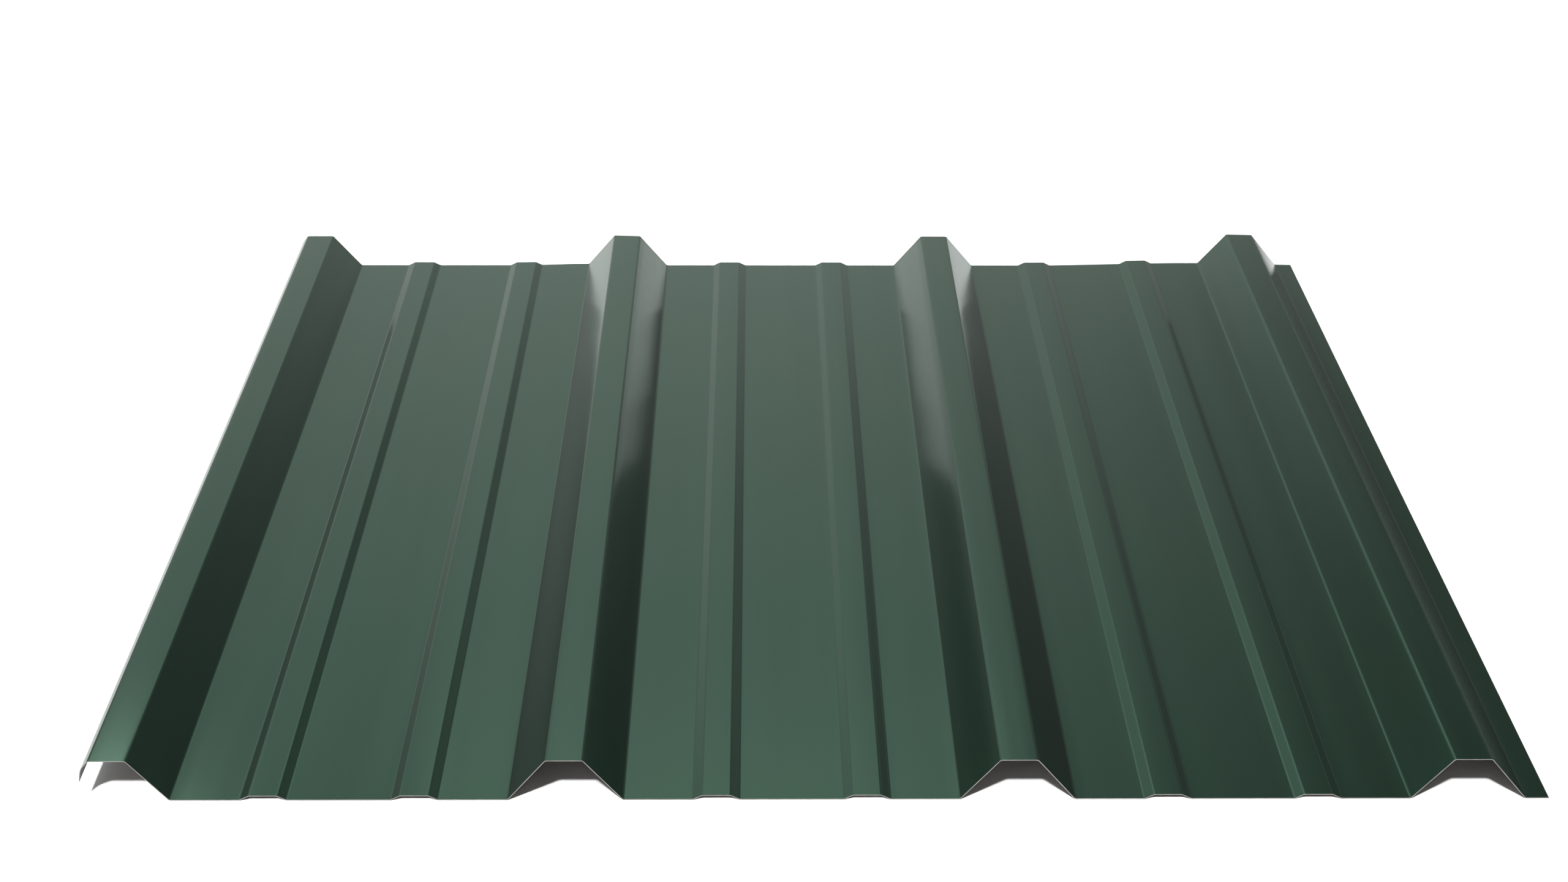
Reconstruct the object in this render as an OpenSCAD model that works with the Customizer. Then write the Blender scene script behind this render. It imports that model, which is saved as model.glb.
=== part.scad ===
// Ribbed roofing sheet: one piece of prepainted steel, roll-formed to a trapezoidal section.
// It lies flat, as on a floor or across purlins. X runs across the ribs, from the overlap
// edge to the bearing foot, and Y runs along them. The origin is under the middle of the sheet.
//
// The section is set out on the mid-line of the metal by its bend lines, the corners where
// two flats would meet. Each corner is then rounded to its own inside radius, so the metal
// is a row of flats joined by arcs, all of one thickness.

/* [Sheet] */
// Length of the sheet along the ribs
sheet_len = 914.4; // [300:0.1:2400]
// Thickness of the coated steel
sheet_t = 0.5; // [0.35:0.01:1]

/* [Major ribs] */
// Number of major ribs across the sheet
rib_count = 4; // [2:1:6]
// Spacing of the major ribs, centre to centre
rib_pitch = 304.8; // [250:0.1:400]
// Overall height, from the underside of the pan to the top of the crest
rib_h = 31.75; // [22:0.05:50]
// Width of the crest between its bend lines
rib_top_w = 25; // [14:0.5:45]
// Level run of each sloping leg between its bend lines
rib_leg_run = 26.25; // [15:0.25:40]
// Inside radius of the bends of the major ribs
rib_bend_r = 2.5; // [0.8:0.1:5]

/* [Minor ribs] */
// Number of minor ribs in each pan
minor_count = 2; // [0:1:3]
// Rise of a minor rib above the pan
minor_h = 3.2; // [1.5:0.1:6]
// Width of the top of a minor rib between its bend lines
minor_top_w = 19; // [10:0.5:25]
// Level run of each side of a minor rib between its bend lines
minor_leg_run = 6.25; // [4:0.25:10]
// Inside radius of the bends of the minor ribs
minor_bend_r = 4; // [0.8:0.1:6]

/* [Side laps] */
// Drop from the overlap crest to the knee of its free leg
knee_drop = 6.5; // [5:0.5:9]
// Drop from the knee to the free edge
lip_drop = 9.5; // [7:0.5:12]
// Slope of the free leg below its knee, from the horizontal
lip_slope = 80; // [65:1:88]
// Inside radius of the knee
knee_bend_r = 10; // [1:0.5:14]
// Width of the flat bearing foot beyond the last rib
foot_w = 16; // [8:0.5:40]

/* [Hidden] */
// Each bend is drawn in equal steps of at most this many degrees
bend_step = 9;

// Rise of the crest's mid-line above the pan's mid-line
rib_rise = rib_h - sheet_t;
minor_pitch = rib_pitch / (minor_count + 1);
function rib_x(i) = (i - (rib_count - 1) / 2) * rib_pitch;

// The four corners of a rib that stands on the pan, each as [x, height, inside radius]
function rib_corners(x, top_w, leg_run, rise, r) = [
    [x - top_w / 2 - leg_run, 0, r],
    [x - top_w / 2, rise, r],
    [x + top_w / 2, rise, r],
    [x + top_w / 2 + leg_run, 0, r]
];
function major_rib(i) = rib_corners(rib_x(i), rib_top_w, rib_leg_run, rib_rise, rib_bend_r);
function minor_rib(x) = rib_corners(x, minor_top_w, minor_leg_run, minor_h, minor_bend_r);

// The minor ribs of the pan that ends at major rib i, evenly spaced between the major ribs
function pan_ribs(i) = [
    for (k = [1 : 1 : minor_count]) each minor_rib(rib_x(i - 1) + k * minor_pitch)
];

// The overlap rib has no outer foot: its free leg follows the slope of the other legs
// down to the knee, then drops more steeply to a free edge above the pan
lap_crest = major_rib(0)[1];
knee = [lap_crest.x - knee_drop * rib_leg_run / rib_rise, lap_crest.y - knee_drop];
lap_edge = [knee.x - lip_drop / tan(lip_slope), knee.y - lip_drop];
// The last rib has a full outer leg, which ends in the flat bearing foot
foot_edge = [major_rib(rib_count - 1)[3].x + foot_w, 0];

// All the corners of the section, from the overlap edge to the edge of the foot
corners = [
    [each lap_edge, 0],
    [each knee, knee_bend_r],
    for (k = [1 : 3]) major_rib(0)[k],
    for (i = [1 : rib_count - 1]) each [each pan_ribs(i), each major_rib(i)],
    [each foot_edge, 0]
];
last = len(corners) - 1;

function corner(i) = [corners[i].x, corners[i].y];
function along(angle) = [cos(angle), sin(angle)];
// Heading of the flat from corner i to the next, and how far the metal turns at corner i
function heading(i) = let (d = corner(i + 1) - corner(i)) atan2(d.y, d.x);
function turn(i) = heading(i) - heading(i - 1);
// Radius of the mid-line at a bend, and the length of flat that the bend takes up on each side
function bend_radius(i) = corners[i].z + sheet_t / 2;
function setback(i) = bend_radius(i) * tan(abs(turn(i)) / 2);

// One face of the bend at corner i, as points round its centre. The face lies the given
// distance to the left of the mid-line, so it is on the inside of a bend that turns left.
function bend_face(i, left) =
    let (
        side = turn(i) < 0 ? -1 : 1,
        steps = max(1, ceil(abs(turn(i)) / bend_step)),
        start = corner(i) - setback(i) * along(heading(i - 1)),
        start_angle = heading(i - 1) - 90 * side,
        centre = start - bend_radius(i) * along(start_angle)
    )
    [
        for (k = [0 : steps])
            centre + (bend_radius(i) - side * left) * along(start_angle + turn(i) * k / steps)
    ];

// One face of the metal from edge to edge
function sheet_face(left) = [
    corner(0) + left * along(heading(0) + 90),
    for (i = [1 : last - 1]) each bend_face(i, left),
    corner(last) + left * along(heading(last - 1) + 90)
];

upper_face = sheet_face(sheet_t / 2);
lower_face = sheet_face(-sheet_t / 2);
outline = [each upper_face, for (k = [len(lower_face) - 1 : -1 : 0]) lower_face[k]];
mid_x = (min([for (p = outline) p.x]) + max([for (p = outline) p.x])) / 2;

module ribbed_sheet() {
    color("#3c5547")
        translate([-mid_x, 0, sheet_t / 2])
            rotate([90, 0, 0])
                linear_extrude(height = sheet_len, center = true)
                    polygon(outline);
}

ribbed_sheet();
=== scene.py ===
"""Looks of a ribbed roofing sheet: prepainted steel, roll-formed, lying on a white studio floor.

The metal's section, its sweep along the sheet and its thickness are made in Geometry Nodes.
Lengths are in millimetres where a name ends in _MM or _mm, and in metres elsewhere.
"""

import math

import bpy
from mathutils import Matrix, Vector


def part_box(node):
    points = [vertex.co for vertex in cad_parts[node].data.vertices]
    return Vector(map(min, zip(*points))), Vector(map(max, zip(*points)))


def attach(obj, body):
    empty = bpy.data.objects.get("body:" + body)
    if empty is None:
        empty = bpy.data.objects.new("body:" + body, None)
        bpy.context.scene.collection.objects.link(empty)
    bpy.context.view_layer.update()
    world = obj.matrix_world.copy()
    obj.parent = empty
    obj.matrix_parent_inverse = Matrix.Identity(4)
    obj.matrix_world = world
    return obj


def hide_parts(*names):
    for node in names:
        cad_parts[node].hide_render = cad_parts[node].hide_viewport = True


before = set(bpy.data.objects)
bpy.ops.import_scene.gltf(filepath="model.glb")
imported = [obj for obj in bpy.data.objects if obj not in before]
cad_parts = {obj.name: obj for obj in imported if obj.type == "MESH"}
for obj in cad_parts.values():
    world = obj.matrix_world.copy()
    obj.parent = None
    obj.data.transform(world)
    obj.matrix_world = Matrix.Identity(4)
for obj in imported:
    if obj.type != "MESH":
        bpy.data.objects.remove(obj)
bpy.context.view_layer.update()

MM = 0.001

# Sizes of the section, as roll-formed
RIB_COUNT = 4
RIB_SPACING_MM = 304.8
CREST_WIDTH_MM = 25.0
LEG_RUN_MM = 26.25
RIB_BEND_MM = 2.5
MINOR_COUNT = 2
MINOR_RISE_MM = 3.2
MINOR_TOP_MM = 19.0
MINOR_RUN_MM = 6.25
MINOR_BEND_MM = 4.0
KNEE_DROP_MM = 6.5
LIP_DROP_MM = 9.5
LIP_SLOPE_DEG = 80.0
KNEE_BEND_MM = 10.0
FOOT_WIDTH_MM = 16.0
STEEL_MM = 0.5

# The loose sheet is not quite flat: its far end springs up a little in two places.
# Each is a place across the sheet, the half width of the swelling there, and its height.
FAR_END_LIFTS_MM = ((390.0, 160.0, 2.8), (-210.0, 70.0, 1.6))

# How finely the metal is drawn, and how near points have to be to be welded into one
BEND_STEPS = 8
FLAT_STEP_MM = 9.0
ROW_STEP_MM = 12.0
WELD_MM = 0.02

# Sizes of the patterns in the finishes. A pair is the size across the sheet and along it.
STREAKS_MM = (20.0, 625.0)
PEEL_MM = 4.0
PEEL_DEPTH_MM = 0.2
CLOUDS_MM = (25.0, 62.5)
RUBS_MM = (4.0, 500.0)
BITES_MM = 8.0

low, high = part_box("ribbed_sheet")
sheet_length = high.y - low.y
rib_rise = high.z - low.z - STEEL_MM * MM


def linear(hex_colour):
    """An sRGB hex colour as the linear RGBA that shaders take."""
    channels = [int(hex_colour[i:i + 2], 16) / 255 for i in (1, 3, 5)]
    return [c / 12.92 if c <= 0.04045 else ((c + 0.055) / 1.055) ** 2.4 for c in channels] + [1.0]


def add(tree, kind, inputs=None, **settings):
    """Adds a node with its settings. Each input is linked if it is given a socket, or else set."""
    node = tree.nodes.new(kind)
    for name, value in settings.items():
        setattr(node, name, value)
    for name, value in (inputs or {}).items():
        socket = node.inputs[name]
        if not socket.enabled:
            socket = next(s for s in node.inputs if s.name == name and s.enabled)
        if isinstance(value, bpy.types.NodeSocket):
            tree.links.new(value, socket)
        else:
            socket.default_value = value
    return node


def new_material(name):
    """An empty node material, with its tree and its output node."""
    material = bpy.data.materials.new(name)
    material.use_nodes = True
    tree = material.node_tree
    tree.nodes.clear()
    return material, tree, add(tree, "ShaderNodeOutputMaterial")


def scale_for(size_mm):
    """The scale at which a noise pattern has features of that size."""
    return 1 / (size_mm * MM)


def drawn_out(size_mm):
    """The scales of a pattern whose size along the sheet differs from that across it."""
    across, along = (scale_for(length) for length in size_mm)
    return (across, along, across)


# Materials

def satin_coil_paint():
    """Coil paint with fine metal flake, rolled on and baked before forming.

    It is dark green and even, and the flake tints its satin sheen green.
    """
    material, tree, output = new_material("satin_coil_paint_green")
    place = add(tree, "ShaderNodeTexCoord").outputs["Object"]
    # The coating roll leaves faint streaks along the strip, in tone and in gloss
    along_strip = add(tree, "ShaderNodeMapping", {"Vector": place, "Scale": drawn_out(STREAKS_MM)})
    streaks = add(tree, "ShaderNodeTexNoise", {
        "Vector": along_strip.outputs[0], "Scale": 1.0, "Detail": 3.0,
    })
    tone = add(tree, "ShaderNodeMix", {
        "Factor": streaks.outputs["Fac"], "A": linear("#294f3c"), "B": linear("#2e5743"),
    }, data_type="RGBA")
    roughness = add(tree, "ShaderNodeMapRange", {
        "Value": streaks.outputs["Fac"], "To Min": 0.15, "To Max": 0.21,
    })
    # Orange peel: baked paint keeps shallow ripples of 1 to 3 mm, drawn coarser to show in a render
    peel = add(tree, "ShaderNodeTexNoise", {
        "Vector": place, "Scale": scale_for(PEEL_MM), "Detail": 1.0,
    })
    ripple = add(tree, "ShaderNodeBump", {
        "Height": peel.outputs["Fac"], "Strength": 0.06, "Distance": PEEL_DEPTH_MM * MM,
    })
    # About two thirds of what the coat throws back comes from the flake
    shader = add(tree, "ShaderNodeBsdfPrincipled", {
        "Base Color": tone.outputs["Result"],
        "Metallic": 0.65,
        "Roughness": roughness.outputs["Result"],
        "Normal": ripple.outputs["Normal"],
    })
    tree.links.new(shader.outputs["BSDF"], output.inputs["Surface"])
    return material


def backer_coat():
    """Thin wash coat rolled on the underside: a warm grey, duller than the face and slightly cloudy."""
    material, tree, output = new_material("backer_wash_coat_grey")
    place = add(tree, "ShaderNodeTexCoord").outputs["Object"]
    # The coat is so thin that it lets the zinc through unevenly, in long clouds
    stretched = add(tree, "ShaderNodeMapping", {"Vector": place, "Scale": drawn_out(CLOUDS_MM)})
    clouds = add(tree, "ShaderNodeTexNoise", {
        "Vector": stretched.outputs[0], "Scale": 1.0, "Detail": 4.0,
    })
    tone = add(tree, "ShaderNodeMix", {
        "Factor": clouds.outputs["Fac"], "A": linear("#585654"), "B": linear("#706d69"),
    }, data_type="RGBA")
    # The forming rolls leave fine rub lines along the strip, 1 mm apart, drawn coarser to show
    along_strip = add(tree, "ShaderNodeMapping", {"Vector": place, "Scale": drawn_out(RUBS_MM)})
    rubs = add(tree, "ShaderNodeTexNoise", {
        "Vector": along_strip.outputs[0], "Scale": 1.0, "Detail": 2.0,
    })
    roughness = add(tree, "ShaderNodeMapRange", {
        "Value": rubs.outputs["Fac"], "To Min": 0.35, "To Max": 0.6,
    })
    shader = add(tree, "ShaderNodeBsdfPrincipled", {
        "Base Color": tone.outputs["Result"],
        "Roughness": roughness.outputs["Result"],
        "IOR": 1.5,
    })
    tree.links.new(shader.outputs["BSDF"], output.inputs["Surface"])
    return material


def sheared_steel():
    """Bare steel and zinc at the sheared edges: a thin pale metallic line, brighter in places."""
    material, tree, output = new_material("sheared_zinc_coated_steel")
    place = add(tree, "ShaderNodeTexCoord").outputs["Object"]
    # The shear leaves burnished and torn spots less than 1 mm long, drawn coarser to show
    bites = add(tree, "ShaderNodeTexNoise", {
        "Vector": place, "Scale": scale_for(BITES_MM), "Detail": 2.0,
    })
    tone = add(tree, "ShaderNodeMix", {
        "Factor": bites.outputs["Fac"], "A": linear("#96948f"), "B": linear("#bfbdb8"),
    }, data_type="RGBA")
    roughness = add(tree, "ShaderNodeMapRange", {
        "Value": bites.outputs["Fac"], "To Min": 0.55, "To Max": 0.3,
    })
    shader = add(tree, "ShaderNodeBsdfPrincipled", {
        "Base Color": tone.outputs["Result"],
        "Metallic": 1.0,
        "Roughness": roughness.outputs["Result"],
    })
    tree.links.new(shader.outputs["BSDF"], output.inputs["Surface"])
    return material


# The sheet

def sheet_sizes():
    """The named inputs of the sheet's node tree, in metres, worked out from the sizes above."""
    leg_run = LEG_RUN_MM * MM
    knee_drop = KNEE_DROP_MM * MM
    lip_drop = LIP_DROP_MM * MM
    outer_crest = -RIB_SPACING_MM * MM * (RIB_COUNT - 1) / 2 - CREST_WIDTH_MM * MM / 2
    outer_foot = -outer_crest + leg_run
    knee_x = outer_crest - knee_drop * leg_run / rib_rise
    half_steel = STEEL_MM * MM / 2
    return {
        "Length": sheet_length,
        "Steel Thickness": STEEL_MM * MM,
        "Rib Pitch": RIB_SPACING_MM * MM / (MINOR_COUNT + 1),
        "Rib Rise": rib_rise,
        "Crest Width": CREST_WIDTH_MM * MM,
        "Rib Foot Width": CREST_WIDTH_MM * MM + 2 * leg_run,
        "Rib Bend": RIB_BEND_MM * MM + half_steel,
        "Minor Rise": MINOR_RISE_MM * MM,
        "Minor Top Width": MINOR_TOP_MM * MM,
        "Minor Foot Width": (MINOR_TOP_MM + 2 * MINOR_RUN_MM) * MM,
        "Minor Bend": MINOR_BEND_MM * MM + half_steel,
        "Knee": (knee_x, rib_rise - knee_drop, 0),
        "Knee Bend": KNEE_BEND_MM * MM + half_steel,
        "Free Edge": (knee_x - lip_drop / math.tan(math.radians(LIP_SLOPE_DEG)),
                      rib_rise - knee_drop - lip_drop, 0),
        "Foot Edge": (outer_foot + FOOT_WIDTH_MM * MM, 0, 0),
        "Place": (high.x - outer_foot - FOOT_WIDTH_MM * MM, 0, low.z + half_steel),
        "Right Lift": tuple(length * MM for length in FAR_END_LIFTS_MM[0]),
        "Middle Lift": tuple(length * MM for length in FAR_END_LIFTS_MM[1]),
        "Flat Step": FLAT_STEP_MM * MM,
        "Row Step": ROW_STEP_MM * MM,
    }


def sheet_tree(sizes, paint, backer, edge):
    """The node tree that sets out the ribs' corners, bends them, sweeps them and thickens them."""
    tree = bpy.data.node_groups.new("roll_formed_sheet", "GeometryNodeTree")
    for name, value in sizes.items():
        kind = "NodeSocketVector" if isinstance(value, tuple) else "NodeSocketFloat"
        tree.interface.new_socket(name, in_out="INPUT", socket_type=kind)
    tree.interface.new_socket("Sheet", in_out="OUTPUT", socket_type="NodeSocketGeometry")
    size = add(tree, "NodeGroupInput").outputs

    # Rib places: evenly spaced, every one after MINOR_COUNT minor ribs being a major rib
    pan_count = RIB_COUNT - 1
    bays = MINOR_COUNT + 1
    index = add(tree, "GeometryNodeInputIndex").outputs["Index"]
    step = add(tree, "ShaderNodeCombineXYZ", {"X": size["Rib Pitch"]})
    start = add(tree, "ShaderNodeVectorMath", {0: step.outputs[0], "Scale": -pan_count * bays / 2},
                operation="SCALE")
    places = add(tree, "GeometryNodeMeshLine", {
        "Count": pan_count * bays + 1, "Start Location": start.outputs[0], "Offset": step.outputs[0],
    }, mode="OFFSET")
    beat = add(tree, "ShaderNodeMath", {0: index, 1: bays}, operation="MODULO")
    is_minor = add(tree, "ShaderNodeMath", {0: beat.outputs[0], 1: 0.5}, operation="GREATER_THAN")
    is_major = add(tree, "ShaderNodeMath", {0: beat.outputs[0], 1: 0.5}, operation="LESS_THAN")

    # The corners of each rib, as trapezoids that stand on the pan
    corners = add(tree, "GeometryNodeJoinGeometry")
    for chosen, foot, top, rise, bend in (
        (is_major, "Rib Foot Width", "Crest Width", "Rib Rise", "Rib Bend"),
        (is_minor, "Minor Foot Width", "Minor Top Width", "Minor Rise", "Minor Bend"),
    ):
        trapezoid = add(tree, "GeometryNodeCurvePrimitiveQuadrilateral", {
            "Bottom Width": size[foot], "Top Width": size[top], "Height": size[rise], "Offset": 0.0,
        }, mode="TRAPEZOID")
        half_rise = add(tree, "ShaderNodeMath", {0: size[rise], 1: 0.5}, operation="MULTIPLY")
        lift = add(tree, "ShaderNodeCombineXYZ", {"Y": half_rise.outputs[0]})
        standing = add(tree, "GeometryNodeTransform", {
            "Geometry": trapezoid.outputs[0], "Translation": lift.outputs[0],
        })
        marked = add(tree, "GeometryNodeStoreNamedAttribute", {
            "Geometry": standing.outputs[0], "Name": "bend", "Value": size[bend],
        }, data_type="FLOAT", domain="POINT")
        ribs = add(tree, "GeometryNodeInstanceOnPoints", {
            "Points": places.outputs[0], "Selection": chosen.outputs[0], "Instance": marked.outputs[0],
        })
        tree.links.new(ribs.outputs[0], corners.inputs[0])
    loose = add(tree, "GeometryNodeRealizeInstances", {"Geometry": corners.outputs[0]})
    points = add(tree, "GeometryNodeCurveToPoints", {"Curve": loose.outputs[0]}, mode="EVALUATED")

    # The free leg takes the place of the first rib's outer foot, and the last rib gets its bearing foot
    place = add(tree, "GeometryNodeInputPosition").outputs[0]
    across = add(tree, "ShaderNodeSeparateXYZ", {0: place}).outputs["X"]
    edge_x = add(tree, "ShaderNodeSeparateXYZ", {0: size["Free Edge"]}).outputs["X"]
    outside = add(tree, "ShaderNodeMath", {0: across, 1: edge_x}, operation="LESS_THAN")
    kept = add(tree, "GeometryNodeDeleteGeometry", {
        "Geometry": points.outputs[0], "Selection": outside.outputs[0],
    }, domain="POINT")
    all_corners = add(tree, "GeometryNodeJoinGeometry")
    tree.links.new(kept.outputs[0], all_corners.inputs[0])
    for corner, bend in (("Free Edge", None), ("Knee", "Knee Bend"), ("Foot Edge", None)):
        point = add(tree, "GeometryNodePoints", {"Count": 1, "Position": size[corner]})
        marked = add(tree, "GeometryNodeStoreNamedAttribute", {
            "Geometry": point.outputs[0], "Name": "bend", "Value": size[bend] if bend else 0.0,
        }, data_type="FLOAT", domain="POINT")
        tree.links.new(marked.outputs[0], all_corners.inputs[0])

    # The section: all corners joined from side to side, bent to their radii, with points on the flats
    line = add(tree, "GeometryNodePointsToCurves", {"Points": all_corners.outputs[0], "Weight": across})
    radius = add(tree, "GeometryNodeInputNamedAttribute", {"Name": "bend"}, data_type="FLOAT")
    bent = add(tree, "GeometryNodeFilletCurve", {
        "Curve": line.outputs[0], "Count": BEND_STEPS, "Radius": radius.outputs[0],
    }, mode="POLY")
    reached = add(tree, "GeometryNodeSplineParameter").outputs["Length"]
    following = add(tree, "ShaderNodeMath", {0: index, 1: 1.0}, operation="ADD")
    reached_next = add(tree, "GeometryNodeFieldAtIndex", {
        "Index": following.outputs[0], "Value": reached,
    }, data_type="FLOAT", domain="POINT")
    flat = add(tree, "ShaderNodeMath", {0: reached_next.outputs[0], 1: reached}, operation="SUBTRACT")
    cuts = add(tree, "ShaderNodeMath", {0: flat.outputs[0], 1: size["Flat Step"]}, operation="DIVIDE")
    section = add(tree, "GeometryNodeSubdivideCurve", {
        "Curve": bent.outputs[0], "Cuts": cuts.outputs[0],
    })

    # The sweep along the sheet. A sweep along +Y turns a profile's +Y downwards, hence the half turn.
    profile = add(tree, "GeometryNodeTransform", {
        "Geometry": section.outputs[0], "Rotation": (math.pi, 0, 0),
    })
    half_length = add(tree, "ShaderNodeMath", {0: size["Length"], 1: 0.5}, operation="MULTIPLY")
    rear = add(tree, "ShaderNodeCombineXYZ", {"Y": half_length.outputs[0]})
    front = add(tree, "ShaderNodeVectorMath", {0: rear.outputs[0], "Scale": -1.0}, operation="SCALE")
    axis = add(tree, "GeometryNodeCurvePrimitiveLine", {
        "Start": front.outputs[0], "End": rear.outputs[0],
    })
    rows = add(tree, "GeometryNodeResampleCurve", {
        "Curve": axis.outputs[0], "Length": size["Row Step"],
    }, mode="LENGTH")
    swept = add(tree, "GeometryNodeCurveToMesh", {
        "Curve": rows.outputs[0], "Profile Curve": profile.outputs[0],
    })
    placed = add(tree, "GeometryNodeTransform", {
        "Geometry": swept.outputs[0], "Translation": size["Place"],
    })

    # The far end's lifts, which grow from nothing at the middle of the sheet
    spot = add(tree, "ShaderNodeSeparateXYZ", {0: place}).outputs
    far = add(tree, "ShaderNodeMapRange", {
        "Value": spot["Y"], "From Min": 0.0, "From Max": half_length.outputs[0],
    }, interpolation_type="SMOOTHSTEP")
    sprung = placed
    for name in ("Right Lift", "Middle Lift"):
        lift = add(tree, "ShaderNodeSeparateXYZ", {0: size[name]}).outputs
        beside = add(tree, "ShaderNodeMath", {0: spot["X"], 1: lift["X"]}, operation="SUBTRACT")
        distance = add(tree, "ShaderNodeMath", {0: beside.outputs[0]}, operation="ABSOLUTE")
        swelling = add(tree, "ShaderNodeMapRange", {
            "Value": distance.outputs[0], "From Min": lift["Y"], "From Max": 0.0, "To Max": lift["Z"],
        }, interpolation_type="SMOOTHSTEP")
        rise = add(tree, "ShaderNodeMath", {
            0: swelling.outputs[0], 1: far.outputs[0],
        }, operation="MULTIPLY")
        upward = add(tree, "ShaderNodeCombineXYZ", {"Z": rise.outputs[0]})
        sprung = add(tree, "GeometryNodeSetPosition", {
            "Geometry": sprung.outputs[0], "Offset": upward.outputs[0],
        })

    # The metal's thickness, half to each side of the section
    normal = add(tree, "GeometryNodeInputNormal").outputs[0]
    half_down = add(tree, "ShaderNodeMath", {0: size["Steel Thickness"], 1: -0.5}, operation="MULTIPLY")
    down = add(tree, "ShaderNodeVectorMath", {
        0: normal, "Scale": half_down.outputs[0],
    }, operation="SCALE")
    under = add(tree, "GeometryNodeSetPosition", {
        "Geometry": sprung.outputs[0], "Offset": down.outputs[0],
    })
    upper = add(tree, "GeometryNodeExtrudeMesh", {
        "Mesh": under.outputs[0], "Offset Scale": size["Steel Thickness"], "Individual": False,
    }, mode="FACES")
    sharp = add(tree, "GeometryNodeSetShadeSmooth", {
        "Geometry": upper.outputs["Mesh"], "Selection": upper.outputs["Side"], "Shade Smooth": False,
    }, domain="EDGE")
    flipped = add(tree, "GeometryNodeFlipFaces", {"Mesh": under.outputs[0]})
    both = add(tree, "GeometryNodeJoinGeometry")
    tree.links.new(flipped.outputs[0], both.inputs[0])
    tree.links.new(sharp.outputs[0], both.inputs[0])
    closed = add(tree, "GeometryNodeMergeByDistance", {
        "Geometry": both.outputs[0], "Distance": WELD_MM * MM,
    })
    bare = add(tree, "GeometryNodeRemoveAttribute", {"Geometry": closed.outputs[0], "Name": "bend"})

    # A finish of its own on each kind of face
    whole = add(tree, "GeometryNodeRealizeInstances", {"Geometry": bare.outputs[0]})
    backed = add(tree, "GeometryNodeSetMaterial", {"Geometry": whole.outputs[0], "Material": backer})
    painted = add(tree, "GeometryNodeSetMaterial", {
        "Geometry": backed.outputs[0], "Selection": upper.outputs["Top"], "Material": paint,
    })
    finished = add(tree, "GeometryNodeSetMaterial", {
        "Geometry": painted.outputs[0], "Selection": upper.outputs["Side"], "Material": edge,
    })
    add(tree, "NodeGroupOutput", {"Sheet": finished.outputs[0]})
    return tree


def roll_formed_sheet():
    """The sheet as one plain mesh, at the origin."""
    sizes = sheet_sizes()
    finishes = (satin_coil_paint(), backer_coat(), sheared_steel())
    tree = sheet_tree(sizes, *finishes)
    maker = bpy.data.objects.new("sheet_maker", bpy.data.meshes.new("sheet_maker"))
    bpy.context.scene.collection.objects.link(maker)
    modifier = maker.modifiers.new("roll_form", "NODES")
    modifier.node_group = tree
    for socket in tree.interface.items_tree:
        if socket.in_out == "INPUT":
            modifier[socket.identifier] = sizes[socket.name]
    graph = bpy.context.evaluated_depsgraph_get()
    mesh = bpy.data.meshes.new_from_object(maker.evaluated_get(graph))
    bpy.data.objects.remove(maker)
    mesh.name = "roll_formed_sheet"
    # The nodes leave an empty slot ahead of the three finishes
    mesh.materials.pop(index=0)
    piece = bpy.data.objects.new("roll_formed_sheet", mesh)
    bpy.context.scene.collection.objects.link(piece)
    return piece


sheet = roll_formed_sheet()
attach(sheet, "root")
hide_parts("ribbed_sheet")


# The camera, as in the photograph

IMAGE_WIDTH_PX = 2560
FOCAL_PX = 4047.0
SENSOR_MM = 36.0
CAMERA_AT = Vector((-0.0404, -1.8334, 0.9768))
CAMERA_YAW_DEG = 0.689
CAMERA_PITCH_DEG = 27.136
CAMERA_ROLL_DEG = 0.302

camera_data = bpy.data.cameras.new("camera")
camera_data.sensor_width = SENSOR_MM
camera_data.lens = FOCAL_PX * SENSOR_MM / IMAGE_WIDTH_PX
camera = bpy.data.objects.new("camera", camera_data)
bpy.context.scene.collection.objects.link(camera)
camera.matrix_world = (
    Matrix.Translation(CAMERA_AT)
    @ Matrix.Rotation(math.radians(-CAMERA_YAW_DEG), 4, "Z")
    @ Matrix.Rotation(math.radians(90 - CAMERA_PITCH_DEG), 4, "X")
    @ Matrix.Rotation(math.radians(CAMERA_ROLL_DEG), 4, "Z")
)
bpy.context.scene.camera = camera


# The studio

FLOOR_WIDTH = 24.0
# A hair below the sheet, so that the two never share a face
FLOOR_Z = -0.3 * MM

# The light that whitens the floor falls 31 mm while it goes 23 mm back and 7 mm to the right
FLOOR_LIGHT_RUN = Vector((7, 23, -31))
FLOOR_LIGHT_POWER = 4.5
FLOOR_LIGHT_WIDTH_DEG = 4

# A soft box behind the sheet
BACK_BOX_AT = (-0.1, 2.2, 2.2)
BACK_BOX_WIDTH = 1.2
BACK_BOX_HEIGHT = 0.8
BACK_BOX_POWER = 1.4

# A small box that catches the near left corner
CORNER_BOX_AT = (-0.89, 0.7, 1.0)
CORNER_BOX_AIM = (-0.47, -0.4, 0)
CORNER_BOX_WIDTH = 0.25
CORNER_BOX_POWER = 0.75

# A faint far-off light that lifts the right sides of the minor ribs
FAR_RIGHT_FROM = (0.412, 0.809, 0.42)
FAR_RIGHT_WIDTH_DEG = 14
FAR_RIGHT_POWER = 0.012

# Beside the bearing foot, a strip of the floor carries painted shade: the metal mirrors it as
# grey-green, while the camera sees it white
PAINTED_SHADE_STRIP_WIDTH = 0.6

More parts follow.
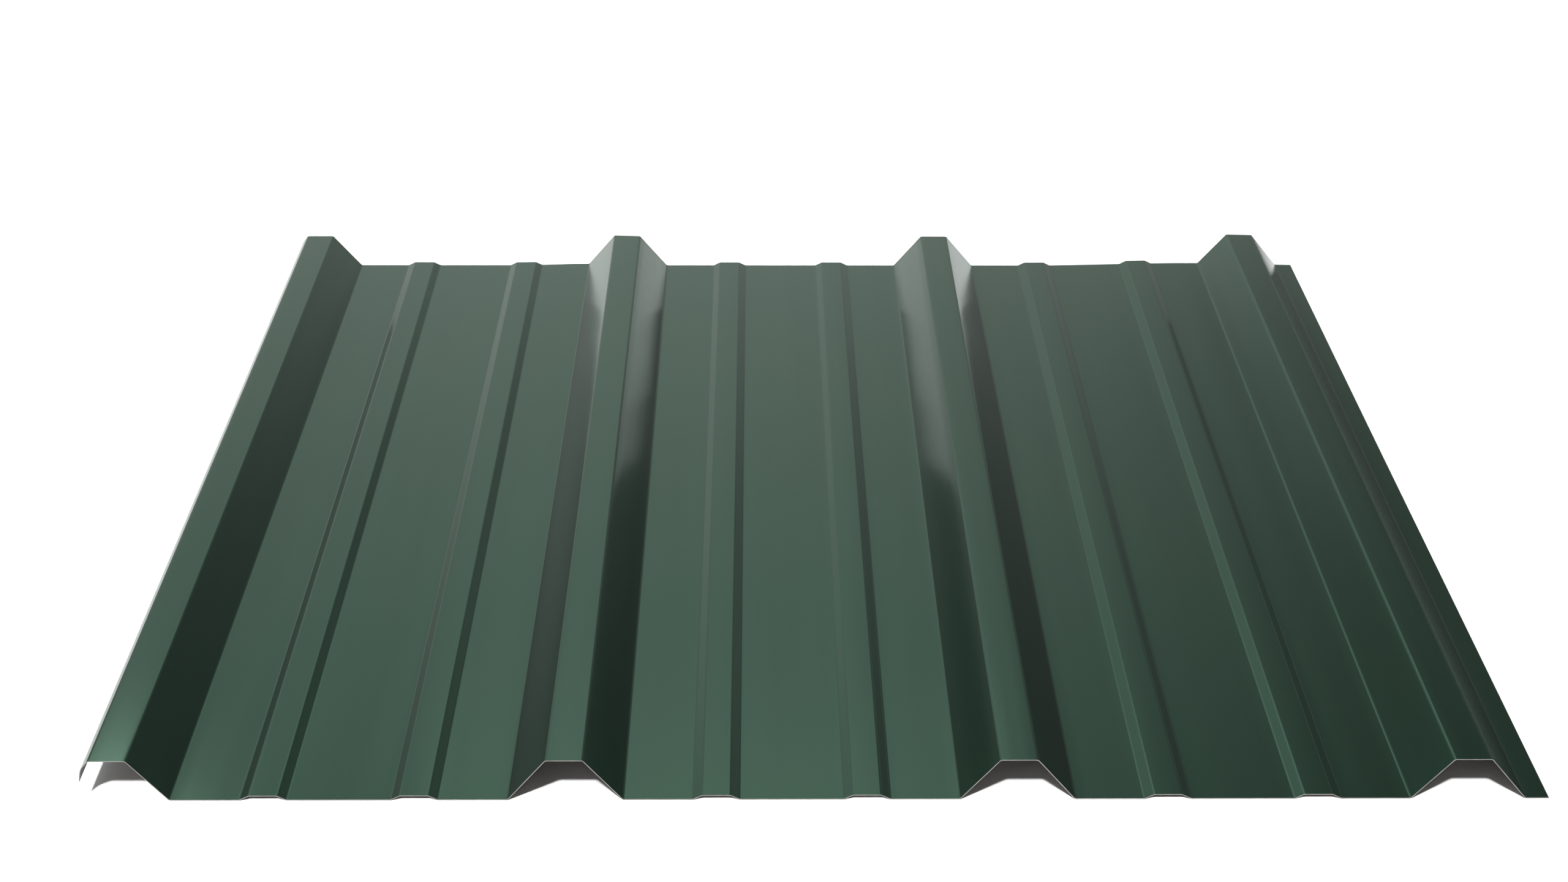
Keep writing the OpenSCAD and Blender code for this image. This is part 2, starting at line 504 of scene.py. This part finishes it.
# Brightness of the backdrop, by the direction round from +Y in degrees, and by the height as a sine
BACKDROP_ROUND = (
    (-180, 0.2), (-90, 0.7), (-60, 0.6), (-40, 0.3), (-31.5, 0.71), (-29.5, 1.2),
    (-14, 1.08), (-6, 1.27), (1, 1.2), (6, 0.96), (12, 0.6), (18, 0.29),
    (27, 0.23), (38, 0.1), (50, 0.04), (90, 0.02), (180, 0.2),
)
BACKDROP_UP = ((0.0, 1.06), (0.3, 1.05), (0.42, 0.92), (0.48, 0.99), (0.62, 1.02), (1.0, 0.8))
# Low down the backdrop leans to the right. Each pair is for its left part and its right part, which
# these bearings bound: the full angle, and the heights where it starts and where it is full.
BACKDROP_LEAN_BEARINGS_DEG = (-20.0, 10.0)
BACKDROP_LEAN_DEG = (7.0, 11.0)
BACKDROP_LEAN_STARTS = (0.24, 0.42)
BACKDROP_LEAN_FULL = (0.17, 0.22)


def studio_floor():
    """A wide white floor, with a strip of painted shade that only the metal's reflections show."""
    half = FLOOR_WIDTH / 2
    mesh = bpy.data.meshes.new("studio_floor")
    corners = [(x * half, y * half, FLOOR_Z) for x, y in ((-1, -1), (1, -1), (1, 1), (-1, 1))]
    mesh.from_pydata(corners, [], [(0, 1, 2, 3)])
    floor = bpy.data.objects.new("studio_floor", mesh)
    bpy.context.scene.collection.objects.link(floor)
    material, tree, output = new_material("studio_white")
    mesh.materials.append(material)
    place = add(tree, "ShaderNodeTexCoord").outputs["Object"]
    across = add(tree, "ShaderNodeSeparateXYZ", {0: place}).outputs["X"]
    half_strip = PAINTED_SHADE_STRIP_WIDTH / 2
    # Painted shade: a strip beside the bearing foot that the metal mirrors as grey-green
    painted_shade = add(tree, "ShaderNodeMath", {
        0: across, 1: high.x + half_strip, 2: half_strip,
    }, operation="COMPARE")
    ray = add(tree, "ShaderNodeLightPath").outputs
    mirrored = add(tree, "ShaderNodeMath", {
        0: ray["Is Glossy Ray"], 1: ray["Is Transmission Ray"],
    }, operation="MAXIMUM")
    # What the metal mirrors of the floor, with the strip of painted shade, and then what the camera
    # sees of it
    painted_shade_in_metal = add(tree, "ShaderNodeMix", {
        "Factor": painted_shade.outputs[0], "A": linear("#eeeeee"), "B": linear("#505a56"),
    }, data_type="RGBA")
    colour = add(tree, "ShaderNodeMix", {
        "Factor": mirrored.outputs[0], "A": linear("#f4f4f4"), "B": painted_shade_in_metal.outputs["Result"],
    }, data_type="RGBA")
    shader = add(tree, "ShaderNodeBsdfDiffuse", {"Color": colour.outputs["Result"]})
    tree.links.new(shader.outputs[0], output.inputs["Surface"])
    return floor


def lamp(name, kind, at, power, aim=(0, 0, 0), **settings):
    """A lamp of that kind at a place, turned to a point, which the camera does not see."""
    data = bpy.data.lights.new(name, kind)
    data.energy = power
    for key, value in settings.items():
        setattr(data, key, value)
    light = bpy.data.objects.new(name, data)
    light.location = at
    light.rotation_euler = (Vector(aim) - Vector(at)).to_track_quat("-Z", "Y").to_euler()
    light.visible_camera = False
    bpy.context.scene.collection.objects.link(light)
    return light


def backdrop_light():
    """Soft light from a pale backdrop behind the sheet, which falls off to the right."""
    world = bpy.data.worlds.new("studio")
    world.use_nodes = True
    tree = world.node_tree
    tree.nodes.clear()
    outward = add(tree, "ShaderNodeTexCoord").outputs["Generated"]
    direction = add(tree, "ShaderNodeSeparateXYZ", {0: outward}).outputs
    bearing = add(tree, "ShaderNodeMath", {0: direction["X"], 1: direction["Y"]}, operation="ARCTAN2")
    first_bearing, last_bearing = (math.radians(degrees) for degrees in BACKDROP_LEAN_BEARINGS_DEG)
    full_degrees, start_height, full_height = (
        add(tree, "ShaderNodeMapRange", {
            "Value": bearing.outputs[0], "From Min": first_bearing, "From Max": last_bearing,
            "To Min": on_left, "To Max": on_right,
        }).outputs[0]
        for on_left, on_right in (BACKDROP_LEAN_DEG, BACKDROP_LEAN_STARTS, BACKDROP_LEAN_FULL)
    )
    low_down = add(tree, "ShaderNodeMapRange", {
        "Value": direction["Z"], "From Min": start_height, "From Max": full_height,
        "To Max": full_degrees,
    })
    lean = add(tree, "ShaderNodeMath", {0: low_down.outputs[0]}, operation="RADIANS")
    upright = add(tree, "ShaderNodeMath", {
        0: bearing.outputs[0], 1: lean.outputs[0],
    }, operation="SUBTRACT")
    share = add(tree, "ShaderNodeMapRange", {
        "Value": upright.outputs[0], "From Min": -math.pi, "From Max": math.pi,
    })
    levels = []
    for source, stops in (
        (share.outputs[0], [(0.5 + degrees / 360, level) for degrees, level in BACKDROP_ROUND]),
        (direction["Z"], BACKDROP_UP),
    ):
        ramp = add(tree, "ShaderNodeValToRGB", {0: source})
        elements = ramp.color_ramp.elements
        elements.remove(elements[0])
        for number, (position, level) in enumerate(stops):
            element = elements.new(position) if number else elements[0]
            element.position = position
            element.color = (level, level, level, 1)
        levels.append(ramp.outputs["Color"])
    strength = add(tree, "ShaderNodeMath", {0: levels[0], 1: levels[1]}, operation="MULTIPLY")
    glow = add(tree, "ShaderNodeBackground", {"Strength": strength.outputs[0]})
    add(tree, "ShaderNodeOutputWorld", {"Surface": glow.outputs[0]})
    bpy.context.scene.world = world


floor = studio_floor()
backdrop_light()
lamp("back_box", "AREA", BACK_BOX_AT, BACK_BOX_POWER,
     shape="RECTANGLE", size=BACK_BOX_WIDTH, size_y=BACK_BOX_HEIGHT)
lamp("corner_box", "AREA", CORNER_BOX_AT, CORNER_BOX_POWER, CORNER_BOX_AIM,
     shape="RECTANGLE", size=CORNER_BOX_WIDTH, size_y=CORNER_BOX_WIDTH)
lamp("far_right_light", "SUN", FAR_RIGHT_FROM, FAR_RIGHT_POWER, angle=math.radians(FAR_RIGHT_WIDTH_DEG))

# This light reaches the floor alone, so that the floor is white and keeps the sheet's shadow
floor_light = lamp("floor_light", "SUN", -FLOOR_LIGHT_RUN, FLOOR_LIGHT_POWER,
                   angle=math.radians(FLOOR_LIGHT_WIDTH_DEG))
lit = bpy.data.collections.new("lit_by_floor_light")
lit.objects.link(floor)
floor_light.light_linking.receiver_collection = lit

bpy.context.scene.view_settings.view_transform = "Standard"
